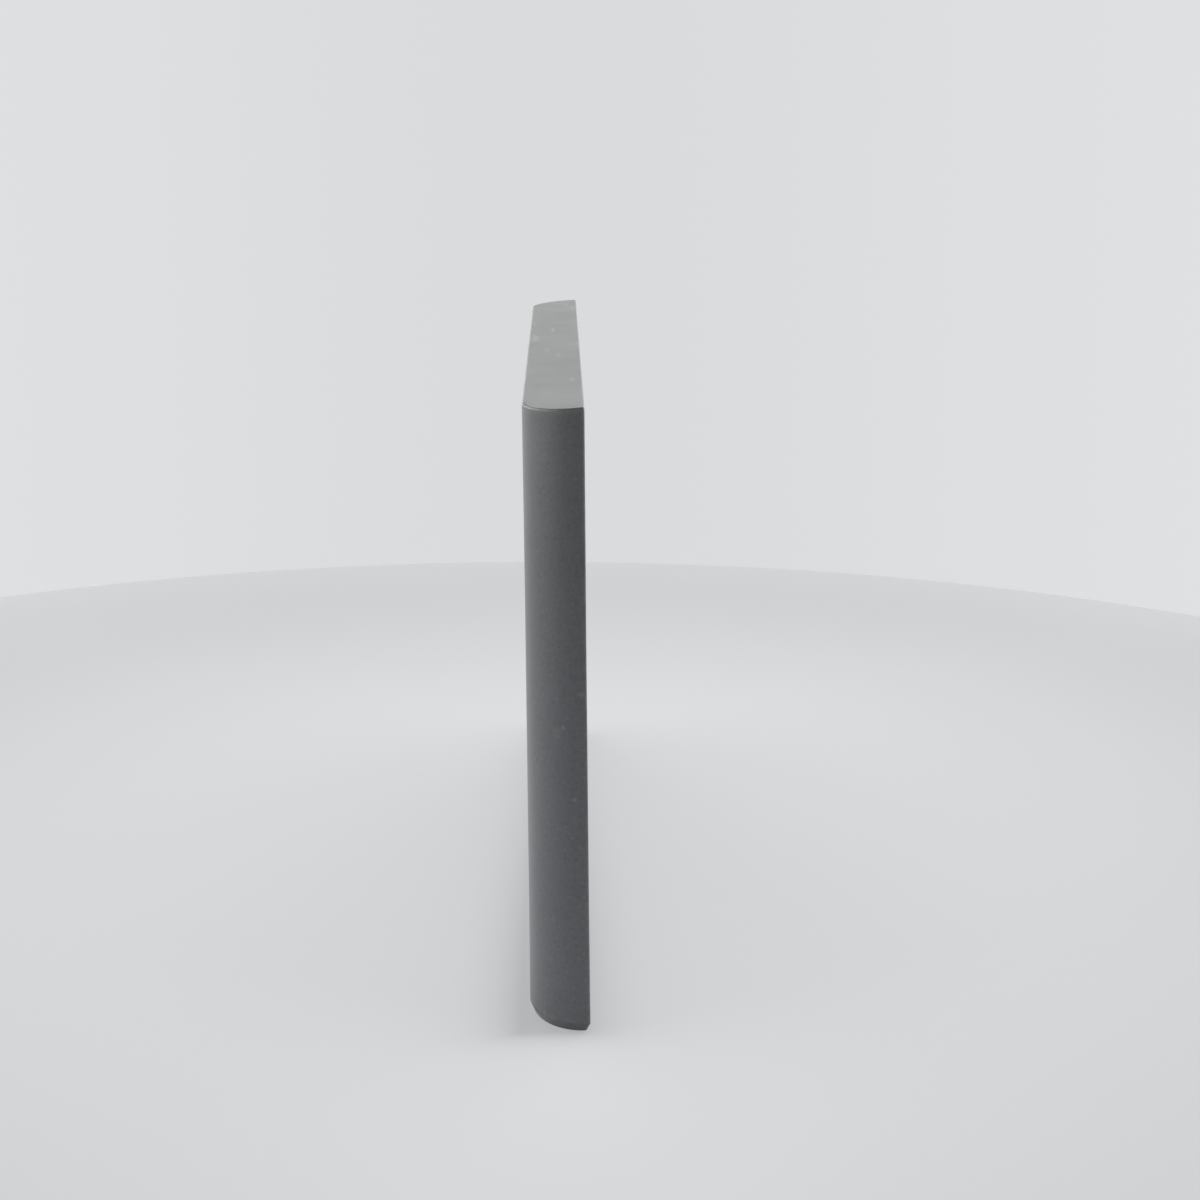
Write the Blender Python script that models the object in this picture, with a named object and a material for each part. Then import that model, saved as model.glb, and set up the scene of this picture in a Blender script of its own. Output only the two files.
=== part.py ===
"""Basalt massage stone: one flat slab of honed stone that stands on its long edge.

Frame: metres, +Z up.  The origin is the middle of the slab's box, on the surface it stands on.
+Y runs along the slab's length and +X points out of its flat back.  The front face is at -X, and
both ends curve from the back round into the front, as a quarter of an ellipse in plan.
"""

import bmesh
import bpy
import numpy as np

MM = 0.001

# Overall sizes
LENGTH = 120.0 * MM            # end to end, along Y
HEIGHT = 80.0 * MM             # from the edge it stands on to the top, at the back
BASE_THICKNESS = 7.8 * MM      # back to front, just above the foot bevel
TOP_THICKNESS = 7.5 * MM       # back to front at the top

# Rounded ends, in plan
END_REACH = 8.2 * MM           # length that each end takes to curve into the front face
CORNER_RADIUS = 0.35 * MM      # upright corners where the back meets the ends

# Top: a narrow face that falls towards the front, more at one end than at the other
TOP_FALL_NEAR = 0.70 * MM      # fall across the thickness at the -Y end
TOP_FALL_FAR = 0.30 * MM       # fall across the thickness at the +Y end
TOP_ROUNDING = 0.25 * MM       # radius of the rim round the top

# Foot: a steep bevel all round the edge that the stone stands on
FOOT_HEIGHT = 1.1 * MM         # how far up the bevel reaches
FOOT_INSET = 0.4 * MM          # how far it leans in towards the bottom
FOOT_ROUNDING = 0.2 * MM       # radius of the lowest rim

# How many facets the curved stretches have
END_STEPS = 28                 # round each end
CORNER_STEPS = 4               # round each upright corner
BODY_STEPS = 12                # along the straight part of the front
RIM_STEPS = 4                  # over the top rim, and over the lowest rim

# Finish: dark grey basalt, honed to a satin
STONE_COLOUR = (0.135, 0.138, 0.142, 1.0)
STONE_ROUGHNESS = 0.36
STONE_METALLIC = 0.0
SHARP_ANGLE = np.radians(30.0)


def clear_scene():
    """Remove every object, so that the stone is built in an empty scene."""
    for old in list(bpy.data.objects):
        bpy.data.objects.remove(old, do_unlink=True)


def front_chain(inset):
    """Plan points from the -Y tip to the +Y tip by the front: quarter ellipse, straight, ellipse."""
    half = LENGTH / 2 - inset
    front = inset - BASE_THICKNESS / 2
    tip = BASE_THICKNESS / 2 - inset - CORNER_RADIUS
    turn = np.linspace(0.0, np.pi / 2, END_STEPS + 1)
    across = tip - (tip - front) * np.sin(turn)
    along = (END_REACH - inset) * (1 - np.cos(turn)) - half
    near = np.column_stack([across, along])
    far = near[::-1] * (1, -1)
    straight = np.linspace(near[-1], far[0], BODY_STEPS + 1)
    return np.vstack([near, straight[1:-1], far])


def back_chain(front, inset):
    """Plan points from tip to tip by the back, one for each front point and across from it."""
    half = LENGTH / 2 - inset
    tip = BASE_THICKNESS / 2 - inset - CORNER_RADIUS
    turn = np.linspace(0.0, np.pi / 2, CORNER_STEPS + 1)
    corner = np.column_stack([tip + CORNER_RADIUS * np.sin(turn),
                              CORNER_RADIUS * (1 - np.cos(turn)) - half])
    facing = front[CORNER_STEPS:-CORNER_STEPS, 1]
    ends = corner[-1, 1] * np.array([1, -1])
    along = np.interp(facing, facing[[0, -1]], ends)
    straight = np.column_stack([np.full(len(along), corner[-1, 0]), along])
    return np.vstack([corner[:-1], straight, corner[-2::-1] * (1, -1)])


def plan_ring(inset):
    """Closed plan outline: out along the front, home along the back, the two tips counted once."""
    front = front_chain(inset)
    back = back_chain(front, inset)
    return np.vstack([front, back[-2:0:-1]])


def raise_ring(inset, height, falls):
    """Lift an outline to its height, thin it as the slab thins, and let a top ring fall forward."""
    plan = plan_ring(inset)
    back = BASE_THICKNESS / 2
    thinning = max(height - FOOT_HEIGHT, 0.0) / (HEIGHT - FOOT_HEIGHT)
    share = 1 + (TOP_THICKNESS / BASE_THICKNESS - 1) * thinning
    forward = (back - plan[:, 0]) / BASE_THICKNESS
    along = plan[:, 1] / LENGTH + 0.5
    fall = forward * (TOP_FALL_NEAR + (TOP_FALL_FAR - TOP_FALL_NEAR) * along)
    across = back - (back - plan[:, 0]) * share
    up = height - fall if falls else np.full(len(plan), height)
    return np.column_stack([across, plan[:, 1], up])


def stone_rings():
    """Outlines from the foot to the top: lowest rim, foot bevel, body and top rim."""
    turn = np.linspace(0.0, np.pi / 2, RIM_STEPS + 1)
    lowest = [raise_ring(FOOT_INSET + FOOT_ROUNDING * (1 - np.sin(angle)),
                         FOOT_ROUNDING * (1 - np.cos(angle)), False) for angle in turn]
    bevel_top = raise_ring(0.0, FOOT_HEIGHT, False)
    rim = [raise_ring(TOP_ROUNDING * (1 - np.cos(angle)),
                      HEIGHT - TOP_ROUNDING * (1 - np.sin(angle)), True) for angle in turn]
    return lowest + [bevel_top] + rim


def cap_faces(start, count):
    """Faces that close one outline: strips across the slab from each front point to its back one."""
    half = count // 2
    faces = []
    for step in range(half):
        corners = [step, step + 1, (count - step - 1) % count, (count - step) % count]
        faces.append([start + corner for corner in dict.fromkeys(corners)])
    return faces


def wall_faces(start, count):
    """Faces between the outline that begins at start and the one above it."""
    faces = []
    for step in range(count):
        after = (step + 1) % count
        faces.append([start + step, start + after, start + count + after, start + count + step])
    return faces


def stone_material():
    """Satin grey basalt."""
    material = bpy.data.materials.new("basalt")
    material.use_nodes = True
    shader = material.node_tree.nodes["Principled BSDF"]
    shader.inputs["Base Color"].default_value = STONE_COLOUR
    shader.inputs["Roughness"].default_value = STONE_ROUGHNESS
    shader.inputs["Metallic"].default_value = STONE_METALLIC
    return material


def massage_stone():
    """The whole stone, one solid: rings bridged from foot to top, with both flat ends closed."""
    rings = stone_rings()
    count = len(rings[0])
    last = (len(rings) - 1) * count
    faces = cap_faces(0, count) + cap_faces(last, count)
    for level in range(len(rings) - 1):
        faces += wall_faces(level * count, count)

    mesh = bpy.data.meshes.new("massage_stone")
    mesh.from_pydata(np.vstack(rings).tolist(), [], faces)
    work = bmesh.new()
    work.from_mesh(mesh)
    bmesh.ops.recalc_face_normals(work, faces=work.faces)
    work.to_mesh(mesh)
    work.free()
    mesh.shade_smooth()
    mesh.set_sharp_from_angle(angle=SHARP_ANGLE)
    mesh.materials.append(stone_material())

    stone = bpy.data.objects.new("massage_stone", mesh)
    bpy.context.scene.collection.objects.link(stone)
    return stone


clear_scene()
massage_stone()
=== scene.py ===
"""Basalt massage stone: a flat slab of honed basalt that stands on its long edge on a pale table.

The stone is one skin worked out with numpy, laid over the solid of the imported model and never
outside it.  Units are metres, +Z is up, +Y runs along the slab and +X points out of its flat back.
"""

import bpy
import numpy as np
from bpy.props import FloatProperty, FloatVectorProperty, IntProperty, PointerProperty
from mathutils import Matrix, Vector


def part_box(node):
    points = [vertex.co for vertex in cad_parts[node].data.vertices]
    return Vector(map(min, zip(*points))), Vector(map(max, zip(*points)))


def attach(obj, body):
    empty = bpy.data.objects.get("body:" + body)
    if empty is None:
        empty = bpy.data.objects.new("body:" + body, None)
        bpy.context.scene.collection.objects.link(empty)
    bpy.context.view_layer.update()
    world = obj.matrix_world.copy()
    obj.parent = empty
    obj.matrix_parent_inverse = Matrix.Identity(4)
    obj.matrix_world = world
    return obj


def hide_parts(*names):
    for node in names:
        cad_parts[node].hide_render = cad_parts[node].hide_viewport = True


bl_info = {
    "name": "Basalt Massage Stone",
    "version": (1, 0, 0),
    "blender": (4, 5, 0),
    "location": "3D View > Sidebar > Stone",
    "description": "Makes a honed basalt massage stone, its table, its lights and its camera",
    "category": "Object",
}

NODE = "massage_stone"
MM = 0.001

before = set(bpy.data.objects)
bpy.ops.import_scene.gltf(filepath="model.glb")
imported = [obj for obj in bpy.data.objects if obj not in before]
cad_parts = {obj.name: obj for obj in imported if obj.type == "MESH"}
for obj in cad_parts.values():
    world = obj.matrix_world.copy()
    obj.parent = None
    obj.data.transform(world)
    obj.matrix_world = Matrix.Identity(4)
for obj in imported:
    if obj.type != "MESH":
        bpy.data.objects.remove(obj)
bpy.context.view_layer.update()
LOW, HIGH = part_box(NODE)


# ---------------------------------------------------------------------------------------------
# Settings
# ---------------------------------------------------------------------------------------------

def length(name, description, default):
    """A length in metres that shows hundredths of a millimetre."""
    return FloatProperty(name=name, description=description, default=default, precision=5,
                         subtype="DISTANCE", unit="LENGTH")


def colour(name, description, default):
    """A linear colour."""
    return FloatVectorProperty(name=name, description=description, default=default, size=3,
                               subtype="COLOR", min=0.0, max=1.0)


def light(name, description, default):
    """The brightness of a part of the tent, where 1 is white on the picture."""
    return FloatProperty(name=name, description=description, default=default, min=0.0)


class StoneShape(bpy.types.PropertyGroup):
    """Sizes of the stone.  Its length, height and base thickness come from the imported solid."""

    top_thickness: length("Top thickness", "Back to front at the top", 7.5 * MM)
    end_reach: length("End reach", "Length in which each end curves into the front", 8.2 * MM)
    corner_radius: length("Corner radius", "Upright corners between the back and the ends",
                          0.35 * MM)
    fall_near: length("Top fall, near end", "Drop of the top from back to front at -Y", 0.70 * MM)
    fall_far: length("Top fall, far end", "Drop of the top from back to front at +Y", 0.30 * MM)
    top_rounding: length("Top rounding", "Radius of the rim round the top", 0.25 * MM)
    foot_height: length("Foot height", "How far up the bevel at the foot reaches", 1.1 * MM)
    foot_inset: length("Foot inset", "How far that bevel leans in", 0.4 * MM)
    foot_rounding: length("Foot rounding", "Radius of the lowest rim", 0.2 * MM)
    dish: length("Dish", "How far the walls hollow at mid height", 0.05 * MM)
    ripple: length("Ripple", "Depth of the slow waves that honing by hand leaves", 0.02 * MM)
    seed: IntProperty(name="Seed", description="Chooses the ripple", default=7, min=0)


class StoneFinish(bpy.types.PropertyGroup):
    """Colours and gloss of the honed basalt."""

    ground: colour("Ground", "The fine grey mass of the stone", (0.084, 0.087, 0.096))
    dark_grain: colour("Dark grain", "The dark mineral grains", (0.057, 0.060, 0.066))
    pale_grain: colour("Pale grain", "The pale mineral grains", (0.148, 0.153, 0.161))
    rubbed: colour("Rubbed", "Stone dust, and stone rubbed pale", (0.22, 0.225, 0.225))
    roughness: FloatProperty(name="Roughness", description="Roughness of the honed surface",
                             subtype="FACTOR", min=0.0, max=1.0, default=0.34)
    index: FloatProperty(name="Refractive index", description="How strongly it shines at a slant",
                         min=1.0, max=3.0, default=1.6)


class StoneStage(bpy.types.PropertyGroup):
    """Table, tent and lamps."""

    table_radius: length("Table radius", "Radius of the round table", 0.247)
    table_x: length("Table X", "Middle of the table, across the stone", -0.017)
    table_y: length("Table Y", "Middle of the table, along the stone", -0.049)
    table_colour: colour("Table colour", "The grey-white of the table", (0.20, 0.20, 0.203))
    # The table's glow is painted light: its surface emits, with no lamp beneath it, more in the
    # middle than at the rim.
    painted_glow_middle: light("Glow, middle", "Light up through the middle of the table", 0.53)
    painted_glow_rim: light("Glow, rim", "Light up through the rim of the table", 0.43)
    # Painted shadow: the table's emission is dimmed beside the stone's foot.
    painted_shadow: light("Shade", "How much of the glow is missing right beside the stone's foot", 0.34)
    backdrop: light("Backdrop", "The plain backdrop that the camera sees", 0.71)
    back_wall: light("Back wall", "The tent behind the stone, near the table's level", 0.78)
    front_wall: light("Front wall", "The tent's open front, near the table's level", 0.40)
    side_light: light("Side light", "The long lamps on both sides, low over the table", 8.8)
    back_light: light("Back light", "The lit strip between them, behind the stone", 1.1)
    slope_light: light("Slope light", "The rest of the tent", 0.25)


# ---------------------------------------------------------------------------------------------
# The stone's skin
# ---------------------------------------------------------------------------------------------

END_STEPS = 44                 # facets round each end
BODY_STEPS = 176               # facets along the straight length
CORNER_STEPS = 6               # facets round each upright corner
WALL_STEPS = 120               # rows up the walls
BEVEL_STEPS = 5                # rows up the foot's bevel
RIM_STEPS = 6                  # rows over each rim
CAP_STEPS = 14                 # strips across the top and across the foot
WALL_EVENNESS = 0.3            # share of the wall's rows that are evenly spaced
LONG_WAVES = 32 * MM           # mean length of the slow waves left by honing
SHORT_WAVES = 9 * MM           # and of the finer ones on them
WAVE_COUNT = 24                # waves of each kind
WEAR_REACH = 0.45 * MM         # distance from an arris over which its wear fades


def front_chain(shape, inset):
    """Plan points from the -Y tip to the +Y tip by the front.

    A quarter ellipse whose centre is level with the tip, a straight, and the mirrored ellipse.
    """
    tip = HIGH.x - inset - shape.corner_radius
    front = LOW.x + inset
    turn = np.linspace(0.0, np.pi / 2, END_STEPS + 1)
    across = tip - (tip - front) * np.sin(turn)
    along = LOW.y + inset + (shape.end_reach - inset) * (1 - np.cos(turn))
    near = np.column_stack([across, along])
    far = near[::-1] * (1, -1)
    straight = np.linspace(near[-1], far[0], BODY_STEPS + 1)
    return np.vstack([near, straight[1:-1], far])


def back_chain(shape, front, inset):
    """Plan points from tip to tip by the back, one across from each front point.

    A quarter circle, a straight whose points keep level with the front's, and the mirrored circle.
    """
    tip = HIGH.x - inset - shape.corner_radius
    turn = np.linspace(0.0, np.pi / 2, CORNER_STEPS + 1)
    corner = np.column_stack([tip + shape.corner_radius * np.sin(turn),
                              LOW.y + inset + shape.corner_radius * (1 - np.cos(turn))])
    facing = front[CORNER_STEPS:-CORNER_STEPS, 1]
    along = np.interp(facing, facing[[0, -1]], corner[-1, 1] * np.array([1, -1]))
    straight = np.column_stack([np.full(len(along), corner[-1, 0]), along])
    return np.vstack([corner[:-1], straight, corner[-2::-1] * (1, -1)])


def lift(shape, plan, height, dropped):
    """Put plan points at a height: the slab thins towards its top, and the top drops forward.

    The distance from the back shrinks in step with height.  Where dropped is 1 the point also
    sinks by its distance from the back times a slope that changes evenly from end to end.
    """
    base = HIGH.x - LOW.x
    thinning = max(height - shape.foot_height, 0.0) / (HIGH.z - shape.foot_height)
    share = 1 + (shape.top_thickness / base - 1) * thinning
    forward = (HIGH.x - plan[:, 0]) / base
    along = (plan[:, 1] - LOW.y) / (HIGH.y - LOW.y)
    fall = forward * (shape.fall_near + (shape.fall_far - shape.fall_near) * along)
    return np.column_stack([HIGH.x - (HIGH.x - plan[:, 0]) * share, plan[:, 1],
                            height - dropped * fall])


def profile(shape):
    """Rows of inset, height and share of the top's drop, from the foot to the top.

    A quarter circle, the straight bevel, the wall, and a quarter circle.  The wall's rows crowd
    towards both ends as a cosine does.
    """
    turn = np.linspace(0.0, np.pi / 2, RIM_STEPS + 1)
    bevel = np.linspace(0.0, 1.0, BEVEL_STEPS + 1)[1:]
    even = np.linspace(0.0, 1.0, WALL_STEPS + 1)[1:-1]
    rise = WALL_EVENNESS * even + (1 - WALL_EVENNESS) * (1 - np.cos(np.pi * even)) / 2
    wall_height = HIGH.z - shape.top_rounding - shape.foot_height
    inset = np.concatenate([shape.foot_inset + shape.foot_rounding * (1 - np.sin(turn)),
                            shape.foot_inset * (1 - bevel),
                            np.zeros(len(rise)),
                            shape.top_rounding * (1 - np.cos(turn))])
    height = np.concatenate([shape.foot_rounding * (1 - np.cos(turn)),
                             shape.foot_rounding + (shape.foot_height - shape.foot_rounding) * bevel,
                             shape.foot_height + wall_height * rise,
                             HIGH.z - shape.top_rounding * (1 - np.sin(turn))])
    dropped = np.concatenate([np.zeros(len(turn) + len(bevel)), rise, np.ones(len(turn))])
    return np.column_stack([inset, height, dropped])


def quads(index):
    """Faces over a table of vertex numbers: a row on, a column on, a row back, a column back."""
    return np.stack([index[:-1, :-1], index[1:, :-1], index[1:, 1:], index[:-1, 1:]],
                    axis=-1).reshape(-1, 4).tolist()


def cap(shape, row, first, made):
    """Points, and faces that look up, which close the outline whose vertices begin at first.

    Straight strips from each front point to the back point across from it, closer together near
    both walls as a cosine is.  The new vertices begin at made.
    """
    inset, height, dropped = row
    front = front_chain(shape, inset)
    back = back_chain(shape, front, inset)
    share = (1 - np.cos(np.linspace(0.0, np.pi, CAP_STEPS + 1)[1:-1, None, None])) / 2
    inner = front[1:-1] * (1 - share) + back[1:-1] * share
    stations = len(front)
    index = np.vstack([first + np.arange(1, stations - 1),
                       made + np.arange(inner.shape[0] * inner.shape[1]).reshape(len(inner), -1),
                       first + 2 * (stations - 1) - np.arange(1, stations - 1)])
    near, far = index[:, 0].tolist(), index[:, -1].tolist()
    faces = quads(index)
    faces += [[after, before, first] for before, after in zip(near, near[1:])]
    faces += [[before, after, first + stations - 1] for before, after in zip(far, far[1:])]
    return lift(shape, inner.reshape(-1, 2), height, dropped), faces


def skin(shape):
    """Points and faces of the closed skin: outlines up the profile, and a cap at either end."""
    rows = profile(shape)
    rings = []
    for inset, height, dropped in rows:
        front = front_chain(shape, inset)
        back = back_chain(shape, front, inset)
        rings.append(lift(shape, np.vstack([front, back[-2:0:-1]]), height, dropped))
    count = len(rings[0])
    made = len(rings) * count
    wall = np.arange(made).reshape(len(rings), count)
    faces = quads(np.column_stack([wall, wall[:, 0]]))
    foot, foot_faces = cap(shape, rows[0], 0, made)
    top, top_faces = cap(shape, rows[-1], made - count, made + len(foot))
    turned = [face[::-1] for face in foot_faces]
    return np.vstack(rings + [foot, top]), faces + turned + top_faces


def slow_waves(points, wavelength, count, rng):
    """Smooth noise of about -1 to 1: a sum of plane waves with random directions and phases."""
    direction = rng.normal(size=(count, 3))
    direction /= np.linalg.norm(direction, axis=1, keepdims=True)
    turns = 2 * np.pi / (wavelength * rng.uniform(0.7, 1.4, count))
    phase = rng.uniform(0.0, 2 * np.pi, count)
    waves = np.sin(points @ (direction * turns[:, None]).T + phase)
    return waves.sum(axis=1) / np.sqrt(2 * count)


def hone(shape, points, normals):
    """Sink points inwards along their normals.

    The walls hollow by a parabola over their height, and waves of two lengths ripple all but the
    strip that the stone stands on.
    """
    rng = np.random.default_rng(shape.seed)
    share = np.clip(points[:, 2] / HIGH.z, 0.0, 1.0)
    upright = np.clip(1.5 - 2 * np.abs(normals[:, 2]), 0.0, 1.0)
    hollow = shape.dish * 4 * share * (1 - share) * upright
    wave = (0.7 * slow_waves(points, LONG_WAVES, WAVE_COUNT, rng)
            + 0.3 * slow_waves(points, SHORT_WAVES, WAVE_COUNT, rng))
    ripple = shape.ripple * np.clip(0.5 + 0.5 * wave, 0.0, 1.0)
    clear = np.clip(points[:, 2] / shape.foot_height, 0.0, 1.0)
    return points - normals * ((hollow + ripple) * clear)[:, None]


def arris_wear(shape, points):
    """1 on an arris, falling off as a Gaussian of the distance to it.

    The arrises are the top rim, the foot's bevel and the two upright corners of the back.  A
    point's distance to the rim or to an upright corner is the hypotenuse of its distances to the
    two faces that meet there.
    """
    inset = shape.top_rounding
    base = HIGH.x - LOW.x
    share = 1 + (shape.top_thickness / base - 1) * np.clip(points[:, 2] / HIGH.z, 0.0, 1.0)
    forward = (HIGH.x - points[:, 0]) / share
    along = (points[:, 1] - LOW.y) / (HIGH.y - LOW.y)
    top = HIGH.z - forward / base * (shape.fall_near + (shape.fall_far - shape.fall_near) * along)
    below = top - points[:, 2]
    reach = shape.end_reach
    beyond = np.clip(np.abs(points[:, 1]) - (HIGH.y - reach), 0.0, None) / reach
    tip = base - shape.corner_radius
    depth = np.sqrt(np.clip(1 - beyond ** 2, 0.0, 1.0))
    ellipse = (tip * depth + shape.corner_radius) - forward
    to_wall = np.minimum(np.minimum(forward, np.clip(ellipse, 0.0, None)),
                         HIGH.y - np.abs(points[:, 1]))
    rim = np.hypot(np.clip(below - inset, 0.0, None), np.clip(to_wall - inset, 0.0, None))
    upright = np.hypot(forward, HIGH.y - np.abs(points[:, 1]))
    foot = np.abs(points[:, 2] - shape.foot_height)
    nearest = np.minimum(np.minimum(rim, upright), foot)
    return np.exp(-(nearest / WEAR_REACH) ** 2)


def set_attribute(mesh, name, values):
    """Store one number for each vertex."""
    attribute = mesh.attributes.new(name, "FLOAT", "POINT")
    attribute.data.foreach_set("value", values.astype(np.float32))


def add_object(context, name, mesh):
    """Link a mesh as an object at the origin."""
    made = bpy.data.objects.new(name, mesh)
    context.scene.collection.objects.link(made)
    return made


def stone_mesh(shape):
    """The honed skin with its wear, one number for every vertex."""
    points, faces = skin(shape)
    mesh = bpy.data.meshes.new("massage_stone_skin")
    mesh.from_pydata(points.tolist(), [], faces)
    normals = np.empty(len(points) * 3, np.float32)
    mesh.vertex_normals.foreach_get("vector", normals)
    honed = hone(shape, points, normals.reshape(-1, 3).astype(float))
    mesh.vertices.foreach_set("co", honed.astype(np.float32).ravel())
    mesh.update()
    mesh.shade_smooth()
    set_attribute(mesh, "wear", arris_wear(shape, points))
    return mesh


# ---------------------------------------------------------------------------------------------
# Shader maths
# ---------------------------------------------------------------------------------------------

class Wire:
    """A node's output, or an empty start of a tree.

    Arithmetic between wires and numbers adds Math nodes, and node() adds any other node.
    """

    def __init__(self, tree, socket=None):
        self.tree = tree
        self.socket = socket

    def node(self, kind, settings=None, inputs=None, out=0):
        """Add a node: its settings are set first, then its sockets' values or links."""
        made = self.tree.nodes.new(kind)
        for name, value in (settings or {}).items():
            setattr(made, name, value)
        for name, value in (inputs or {}).items():
            if isinstance(value, Wire):
                self.tree.links.new(value.socket, made.inputs[name])
            else:
                made.inputs[name].default_value = value
        return Wire(self.tree, made.outputs[out] if made.outputs else None)

    def math(self, operation, first, second=0.0):
        """A Math node on one or two values."""
        return self.node("ShaderNodeMath", {"operation": operation}, {0: first, 1: second})

    def vector(self, operation, first, second=(0.0, 0.0, 0.0), out="Vector"):
        """A Vector Math node on one or two vectors or colours."""
        return self.node("ShaderNodeVectorMath", {"operation": operation},
                         {0: first, 1: second}, out=out)

    def parts(self):
        """The three parts of a vector."""
        made = self.tree.nodes.new("ShaderNodeSeparateXYZ")
        self.tree.links.new(self.socket, made.inputs["Vector"])
        return [Wire(self.tree, socket) for socket in made.outputs]

    def scale(self, factor):
        """This vector or colour times a number or a wire."""
        return self.node("ShaderNodeVectorMath", {"operation": "SCALE"},
                         {0: self, "Scale": factor})

    def __add__(self, other):
        return self.math("ADD", self, other)

    def __radd__(self, other):
        return self.math("ADD", other, self)

    def __sub__(self, other):
        return self.math("SUBTRACT", self, other)

    def __rsub__(self, other):
        return self.math("SUBTRACT", other, self)

    def __mul__(self, other):
        return self.math("MULTIPLY", self, other)

    def __rmul__(self, other):
        return self.math("MULTIPLY", other, self)

    def step(self, low, high):
        """0 below low, 1 above high, and a smooth slope between; low above high turns it round."""
        return self.node("ShaderNodeMapRange", {"interpolation_type": "SMOOTHSTEP"},
                         {"Value": self, "From Min": low, "From Max": high})

    def blend(self, first, second):
        """A colour between first and second, by this factor."""
        return self.node("ShaderNodeMix", {"data_type": "RGBA"},
                         {"Factor": self, 6: first, 7: second}, out=2)


def opaque(colour_value):
    """A colour property as the four numbers of a colour socket."""
    return (*colour_value, 1.0)


# The foot's bevel faces down at the table, and the next band darkens it with painted shade.
SHADED_FOOT_BAND = (1.25 * MM, 1.05 * MM)  # heights between which the darker foot bevel begins
END_PART = (50 * MM, 54 * MM)       # distances from the middle between which an end begins
END_FRONT = (1.5 * MM, -0.5 * MM)   # and across the stone, between which its curved front begins
END_ARRIS = (0.72, 0.92)            # wear between which the arris there turns duller
END_DULLNESS = 0.2                  # how much rougher it is

# Pale marks on the stone: middle in mm, radius in mm, length over width, and strength.  Four are
# on the near end's face and the rest on the top face
MARKS = (
    (2.2, -59.9, 31.3, 0.40, 1.0, 0.38),
    (3.2, -60.0, 44.9, 0.50, 1.0, 0.20),
    (0.9, -59.4, 40.5, 0.35, 1.0, 0.40),
    (0.1, -59.0, 39.7, 0.90, 1.0, 0.15),
    (2.6, -36.5, 79.6, 0.55, 5.0, 0.70),
    (-0.8, -5.9, 79.9, 0.60, 7.0, 0.30),
    (0.8, -12.0, 79.9, 0.60, 6.0, 0.30),
    (0.0, 17.2, 79.9, 0.45, 8.0, 0.70),
    (-2.7, 9.0, 79.9, 0.85, 8.0, 0.70),
    (-3.0, 27.0, 79.9, 0.60, 8.0, 0.50),
    (3.1, 46.6, 79.9, 0.60, 8.0, 0.40),
    (2.1, 53.4, 79.9, 0.70, 6.0, 0.50),
    (0.5, 57.0, 79.9, 4.50, 1.3, 0.30),
)


def pale_marks(place):
    """The strongest mark at a place: each is full in its middle and fades out at its radius."""
    most = 0.0
    for x, y, z, radius, stretch, strength in MARKS:
        aside = place.vector("SUBTRACT", place, (x * MM, y * MM, z * MM))
        aside = place.vector("MULTIPLY", aside, (1.0, 1 / stretch, 1.0))
        apart = place.vector("LENGTH", aside, out="Value")
        most = place.math("MAXIMUM", apart.step(radius * MM, 0.4 * radius * MM) * strength, most)
    return most


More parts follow.
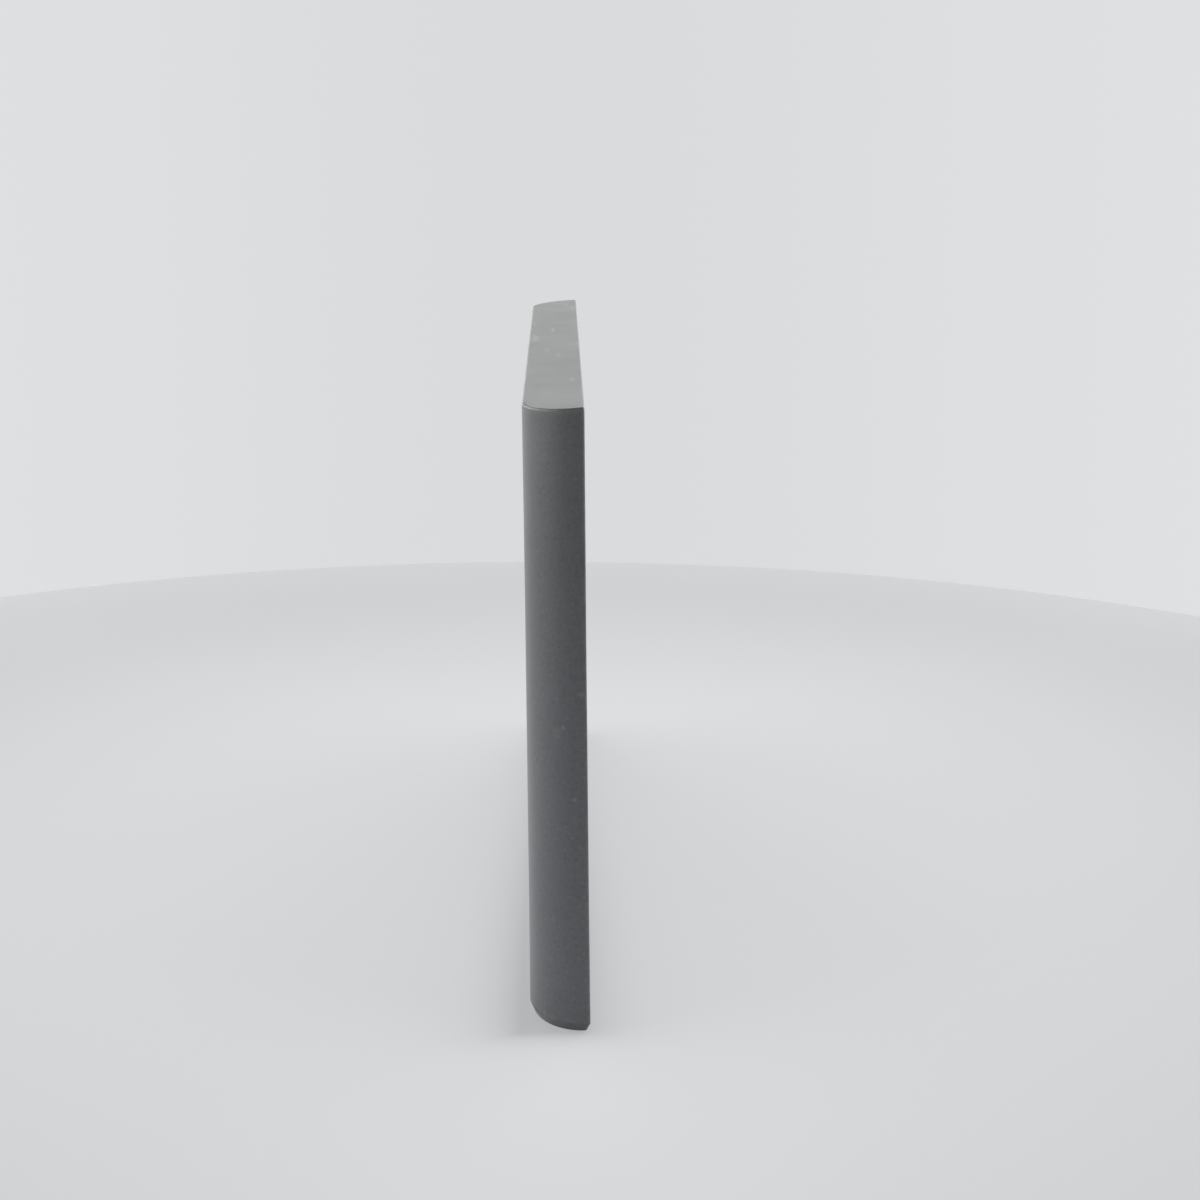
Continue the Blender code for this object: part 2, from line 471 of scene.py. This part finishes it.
def basalt(finish):
    """Honed basalt: a fine grey ground, dark and pale grains, pinholes, rubbed arrises and marks,
    and painted shade on the foot's bevel.
    """
    material = bpy.data.materials.new("honed_basalt")
    material.use_nodes = True
    tree = material.node_tree
    tree.nodes.clear()
    start = Wire(tree)
    place = start.node("ShaderNodeTexCoord", out="Object")
    wear = start.node("ShaderNodeAttribute", {"attribute_name": "wear"}, out="Fac")
    marked = pale_marks(place)
    across, along, up = place.parts()
    # Mask of the foot's bevel, which gets painted shade below.
    foot = up.step(*SHADED_FOOT_BAND)
    ends = start.math("ABSOLUTE", along).step(*END_PART) * across.step(*END_FRONT)

    def noise(size, detail=2.0, rough=0.5):
        """Soft noise of 0 to 1 whose blobs are about this size."""
        return start.node("ShaderNodeTexNoise", None,
                          {"Vector": place, "Scale": 1 / size, "Detail": detail,
                           "Roughness": rough})

    def spots(size, radius):
        """1 within radius of one scattered point for each cell of this size, and 0 outside."""
        apart = start.node("ShaderNodeTexVoronoi", None,
                           {"Vector": place, "Scale": 1 / size, "Randomness": 1.0})
        return apart.step(radius / size, 0.6 * radius / size)

    cloud = noise(26 * MM, 3.0)
    mottle = noise(1.9 * MM, 4.0, 0.6)
    grain = noise(0.42 * MM, 2.0)
    film = noise(11 * MM, 4.0, 0.6)
    scratch = noise(0.11 * MM, 1.0)
    pinholes = spots(3.4 * MM, 0.11 * MM)
    crystals = spots(5.5 * MM, 0.20 * MM)

    dark = grain.step(0.44, 0.36)
    pale = grain.step(0.60, 0.70)
    tone = 0.79 + cloud * 0.30 + mottle * 0.12
    body = (dark * 0.5).blend(opaque(finish.ground), opaque(finish.dark_grain))
    body = (pale * 0.30).blend(body, opaque(finish.pale_grain))
    body = body.scale(tone)
    body = (pinholes * 0.6).blend(body, opaque(finish.dark_grain))
    body = (crystals * 0.5).blend(body, opaque(finish.rubbed))
    # Painted shade: the foot's bevel is blended towards the dark grain colour.
    body = (foot * 0.6).blend(body, opaque(finish.dark_grain))
    rubbed = wear * mottle.step(0.35, 0.7) * 0.20 + marked * mottle.step(0.30, 0.50)
    body = rubbed.blend(body, opaque(finish.rubbed))

    dull = ends * wear.step(*END_ARRIS) * END_DULLNESS
    roughness = finish.roughness + (film - 0.5) * 0.12 + dull
    relief = grain * 0.3 + scratch * 0.4 + mottle * 0.6 - pinholes * 2.0
    normal = start.node("ShaderNodeBump", None,
                        {"Strength": 0.5, "Distance": 0.012 * MM, "Height": relief})
    surface = start.node("ShaderNodeBsdfPrincipled", None,
                         {"Base Color": body, "Roughness": roughness, "Normal": normal,
                          "IOR": finish.index})
    start.node("ShaderNodeOutputMaterial", None, {"Surface": surface})
    return material


# ---------------------------------------------------------------------------------------------
# Stage
# ---------------------------------------------------------------------------------------------

TABLE_THICKNESS = 12 * MM
TABLE_ROUNDING = 3 * MM
TABLE_SEGMENTS = 256
# The table's glow is painted light, emitted by its own surface.
GLOW_REACH = (0.06, 0.17)            # distances from the stone between which the glow fades
GLOW_TINT = (0.985, 0.997, 1.02)     # the glow's share of each colour
# The next four set a painted shadow, a dip in the table's emission beside the stone's foot.
SHADE_REACH = 4 * MM                 # distance over which the shade round the foot fades
SHADE_SHIFT = (1.2 * MM, 0.0, 0.0)   # how far to the left the shade lies
SHADE_ALONG = (1.0, 2.0, 0.0)        # past the ends a distance counts twice
SHADE_FAR_END = 0.25                 # share of the shade that is left at the far end
WALL_TURN = (-0.95, -0.10)           # shares of +Y between which the front wall brightens
LAMP_FOOT = (0.11, 0.17)             # sines of the heights between which the lamps begin
LAMP_TOP = (0.345, 0.405)            # and of those between which they end
LAMP_BACK_END = (0.86, 0.95)         # shares of +Y where side lamps give way to the back strip
LAMP_FRONT_END = (-0.52, -0.34)      # and where they end towards the front
TENT_TINT = (0.995, 1.005, 0.985)    # the tent's share of each colour
BACKDROP_TINT = (0.988, 0.996, 1.012)
CAMERA_PLACE = (1.37 * MM, -285.51 * MM, 115.89 * MM)
CAMERA_RIGHT = 1.052                 # degrees the camera turns right of +Y
CAMERA_DOWN = 14.698                 # degrees it looks down
CAMERA_ROLL = 0.457                  # degrees it leans to the right
CAMERA_LENS = 58.5                   # mm of focal length on a sensor 36 mm wide


def table_mesh(stage):
    """A round table top: its profile turned about its middle.

    The profile runs out over the flat top, round a quarter circle, down the side and home.
    """
    turn = np.linspace(0.0, np.pi / 2, 9)
    flat = np.linspace(0.0, stage.table_radius - TABLE_ROUNDING, 12)[1:-1]
    radius = np.concatenate([flat, stage.table_radius - TABLE_ROUNDING * (1 - np.sin(turn)),
                             [stage.table_radius, stage.table_radius - TABLE_ROUNDING]])
    height = np.concatenate([np.zeros(len(flat)), -TABLE_ROUNDING * (1 - np.cos(turn)),
                             [TABLE_ROUNDING - TABLE_THICKNESS, -TABLE_THICKNESS]])
    angle = np.linspace(0.0, 2 * np.pi, TABLE_SEGMENTS, endpoint=False)
    rows = np.stack([stage.table_x + np.outer(radius, np.cos(angle)),
                     stage.table_y + np.outer(radius, np.sin(angle)),
                     np.repeat(height[:, None], TABLE_SEGMENTS, axis=1)], axis=-1)
    index = np.arange(rows.shape[0] * rows.shape[1]).reshape(rows.shape[:2])
    faces = quads(np.column_stack([index, index[:, 0]]))
    faces += [index[0].tolist(), index[-1, ::-1].tolist()]
    mesh = bpy.data.meshes.new("table_top")
    mesh.from_pydata(rows.reshape(-1, 3).tolist(), [], faces)
    mesh.shade_smooth()
    mesh.set_sharp_from_angle(angle=np.radians(40))
    return mesh


def table_finish(stage):
    """Matt white plastic that glows with painted light, a little more in the middle than at the rim.

    The glow is dimmed beside the stone's foot into a painted shadow, by the exponential of minus the
    distance from the stone's box over that painted shadow's reach, and less towards the far end.
    """
    material = bpy.data.materials.new("white_table")
    material.use_nodes = True
    tree = material.node_tree
    tree.nodes.clear()
    start = Wire(tree)
    place = start.node("ShaderNodeTexCoord", out="Object")
    cloud = start.node("ShaderNodeTexNoise", None,
                       {"Vector": place, "Scale": 1 / (60 * MM), "Detail": 3.0})
    tint = cloud.blend(opaque([0.985 * part for part in stage.table_colour]),
                       opaque(stage.table_colour))
    away = start.vector("LENGTH", place, out="Value")
    # Painted light: the table's surface emits, more in the middle than at the rim.
    glow = away.step(*GLOW_REACH).blend(
        opaque([part * stage.painted_glow_middle for part in GLOW_TINT]),
        opaque([part * stage.painted_glow_rim for part in GLOW_TINT]))
    # Painted shadow: the glow dims near the stone's box, more towards the near end.
    beyond = start.vector("ABSOLUTE", start.vector("ADD", place, SHADE_SHIFT))
    beyond = start.vector("SUBTRACT", beyond, (HIGH[0], HIGH[1], 0.0))
    beyond = start.vector("MAXIMUM", beyond, (0.0, 0.0, 0.0))
    beyond = start.vector("MULTIPLY", beyond, SHADE_ALONG)
    apart = start.vector("LENGTH", beyond, out="Value")
    near = start.math("EXPONENT", apart * (-1 / SHADE_REACH))
    towards = place.parts()[1].step(HIGH[1], LOW[1])
    near = near * (SHADE_FAR_END + (1 - SHADE_FAR_END) * towards)
    glow = glow.scale(1.0 - near * stage.painted_shadow)
    surface = start.node("ShaderNodeBsdfPrincipled", None,
                         {"Base Color": tint, "Roughness": 0.7 + cloud * 0.1,
                          "Specular IOR Level": 0.15, "Emission Color": glow,
                          "Emission Strength": 1.0})
    start.node("ShaderNodeOutputMaterial", None, {"Surface": surface})
    return material


def tent(context, stage):
    """Soft light from all round, by direction, and a plain backdrop where the camera looks.

    The walls stand up to the lamps' band of heights and the dim slopes begin there.  In the band
    two long lamps run back along the sides, and a lit strip joins them behind the stone.
    """
    world = bpy.data.worlds.new("tent")
    world.use_nodes = True
    context.scene.world = world
    tree = world.node_tree
    tree.nodes.clear()
    start = Wire(tree)
    across, along, up = start.node("ShaderNodeTexCoord", out="Generated").parts()
    above = up.step(*LAMP_FOOT)
    walls = stage.front_wall + along.step(*WALL_TURN) * (stage.back_wall - stage.front_wall)
    shell = walls + above * (stage.slope_light - walls)
    band = above * up.step(*reversed(LAMP_TOP))
    behind = along.step(*LAMP_BACK_END)
    beside = along.step(*LAMP_FRONT_END) * (1.0 - behind)
    lit = shell + band * (beside * stage.side_light + behind * stage.back_light)
    aside = start.math("ABSOLUTE", across)
    backdrop = stage.backdrop + aside.step(0.0, 0.4) * 0.05
    seen = start.node("ShaderNodeLightPath", out="Is Camera Ray")
    surface = start.node("ShaderNodeBackground", None,
                         {"Color": seen.blend(opaque(TENT_TINT), opaque(BACKDROP_TINT)),
                          "Strength": lit + seen * (backdrop - lit)})
    start.node("ShaderNodeOutputWorld", None, {"Surface": surface})


def camera(context):
    """The camera, in front of the near end and above its top, looking a little down."""
    data = bpy.data.cameras.new("camera")
    data.sensor_width = 36.0
    data.lens = CAMERA_LENS
    data.clip_start = 0.01
    made = bpy.data.objects.new("camera", data)
    context.scene.collection.objects.link(made)
    made.matrix_world = (Matrix.Translation(CAMERA_PLACE)
                         @ Matrix.Rotation(-np.radians(CAMERA_RIGHT), 4, "Z")
                         @ Matrix.Rotation(np.radians(90 - CAMERA_DOWN), 4, "X")
                         @ Matrix.Rotation(-np.radians(CAMERA_ROLL), 4, "Z"))
    context.scene.camera = made


# ---------------------------------------------------------------------------------------------
# Operators and panel
# ---------------------------------------------------------------------------------------------

class STONE_OT_make_stone(bpy.types.Operator):
    """Make the stone's skin and its finish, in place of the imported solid"""

    bl_idname = "stone.make_stone"
    bl_label = "Make stone"

    def execute(self, context):
        mesh = stone_mesh(context.scene.stone_shape)
        mesh.materials.append(basalt(context.scene.stone_finish))
        stone = add_object(context, "massage_stone_skin", mesh)
        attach(stone, "root")
        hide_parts(NODE)
        return {"FINISHED"}


class STONE_OT_make_stage(bpy.types.Operator):
    """Make the table, the tent's light, the lamps and the camera"""

    bl_idname = "stone.make_stage"
    bl_label = "Make stage"

    def execute(self, context):
        stage = context.scene.stone_stage
        mesh = table_mesh(stage)
        mesh.materials.append(table_finish(stage))
        add_object(context, "table_top", mesh)
        tent(context, stage)
        camera(context)
        context.scene.view_settings.view_transform = "Standard"
        return {"FINISHED"}


class STONE_PT_panel(bpy.types.Panel):
    """Sidebar panel with the sizes, the colours and the two operators"""

    bl_idname = "STONE_PT_panel"
    bl_label = "Basalt Massage Stone"
    bl_space_type = "VIEW_3D"
    bl_region_type = "UI"
    bl_category = "Stone"

    def draw(self, context):
        layout = self.layout
        for group in (context.scene.stone_shape, context.scene.stone_finish,
                      context.scene.stone_stage):
            box = layout.box()
            for name in group.bl_rna.properties.keys():
                if name not in ("rna_type", "name"):
                    box.prop(group, name)
        layout.operator(STONE_OT_make_stone.bl_idname)
        layout.operator(STONE_OT_make_stage.bl_idname)


CLASSES = (StoneShape, StoneFinish, StoneStage, STONE_OT_make_stone, STONE_OT_make_stage,
           STONE_PT_panel)


def register():
    for made in CLASSES:
        bpy.utils.register_class(made)
    bpy.types.Scene.stone_shape = PointerProperty(type=StoneShape)
    bpy.types.Scene.stone_finish = PointerProperty(type=StoneFinish)
    bpy.types.Scene.stone_stage = PointerProperty(type=StoneStage)


def unregister():
    del bpy.types.Scene.stone_stage
    del bpy.types.Scene.stone_finish
    del bpy.types.Scene.stone_shape
    for made in reversed(CLASSES):
        bpy.utils.unregister_class(made)


def main():
    """Make everything in order."""
    register()
    bpy.ops.stone.make_stone()
    bpy.ops.stone.make_stage()


if __name__ == "__main__":
    main()
